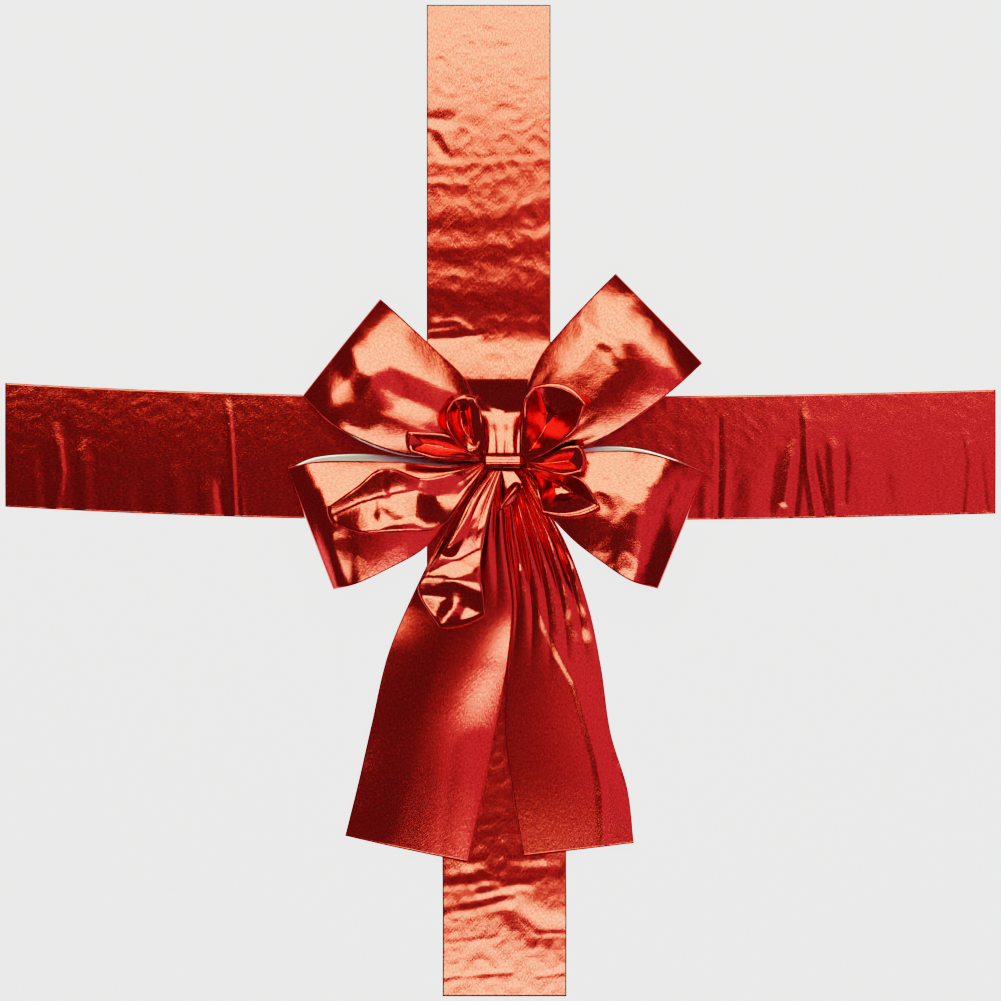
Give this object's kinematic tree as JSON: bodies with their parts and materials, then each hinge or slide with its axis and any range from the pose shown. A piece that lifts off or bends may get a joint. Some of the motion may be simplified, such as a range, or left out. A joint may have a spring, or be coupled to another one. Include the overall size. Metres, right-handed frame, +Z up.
{
  "type": "pre-made ribbon gift bow",
  "caption": "Full ribbon bow with large and small loops and long tails, wired over a card and stuck to a crossed ribbon band.",
  "frame": {"origin": "centre of the knot, projected on to the flat underside of the crossed bands", "axes": "+Z up through the knot, away from the gift; +X along the band that runs left to right; +Y along the other band, away from the tails"},
  "size_m": [0.507, 0.5075, 0.0373],
  "materials": {
    "foil_ribbon": "metallic woven face, silver back",
    "clear_tape": "double-sided adhesive tape",
    "foam": "soft adhesive foam",
    "card": "plain uncoated card",
    "wire": "thin bare tie wire"
  },
  "bodies": {
    "tied_centre": {"band_across": "foil_ribbon", "band_down": "foil_ribbon", "crossing_tape": "clear_tape", "foam_pad_left": "foam", "foam_pad_right": "foam", "backing_card": "card", "tie_wire": "wire", "pleated_waist": "foil_ribbon", "knot_wrap": "foil_ribbon", "loop_over_knot": "foil_ribbon"},
    "upper_left_loops": {"loop_upper_left": "foil_ribbon", "inner_loop_upper_left": "foil_ribbon", "inner_loop_left": "foil_ribbon"},
    "upper_right_loops": {"loop_upper_right": "foil_ribbon", "inner_loop_upper_right": "foil_ribbon"},
    "lower_left_loops": {"loop_lower_left": "foil_ribbon", "inner_loop_lower_left": "foil_ribbon"},
    "lower_right_loops": {"loop_lower_right": "foil_ribbon", "inner_loop_right": "foil_ribbon", "inner_loop_lower_right": "foil_ribbon"},
    "left_tail": {"tail_left": "foil_ribbon", "inner_loop_foot": "foil_ribbon"},
    "right_tail": {"tail_right": "foil_ribbon", "inner_loop_curl": "foil_ribbon"}
  },
  "joints": [
    {"name": "upper_left_lift", "type": "hinge", "parent": "tied_centre", "child": "upper_left_loops", "pos_m": [-0.005, 0, 0.012], "axis": [0, 1, 0], "range_deg": [0, 25]},
    {"name": "upper_right_lift", "type": "hinge", "parent": "tied_centre", "child": "upper_right_loops", "pos_m": [0.005, 0, 0.012], "axis": [0, -1, 0], "range_deg": [0, 25]},
    {"name": "lower_left_lift", "type": "hinge", "parent": "tied_centre", "child": "lower_left_loops", "pos_m": [-0.005, 0, 0.012], "axis": [0, 1, 0], "range_deg": [0, 25]},
    {"name": "lower_right_lift", "type": "hinge", "parent": "tied_centre", "child": "lower_right_loops", "pos_m": [0.005, 0, 0.012], "axis": [0, -1, 0], "range_deg": [0, 25]},
    {"name": "left_tail_lift", "type": "hinge", "parent": "tied_centre", "child": "left_tail", "pos_m": [0, -0.008, 0.012], "axis": [-1, 0, 0], "range_deg": [0, 28]},
    {"name": "right_tail_lift", "type": "hinge", "parent": "tied_centre", "child": "right_tail", "pos_m": [0, -0.008, 0.012], "axis": [-1, 0, 0], "range_deg": [0, 28]}
  ]
}
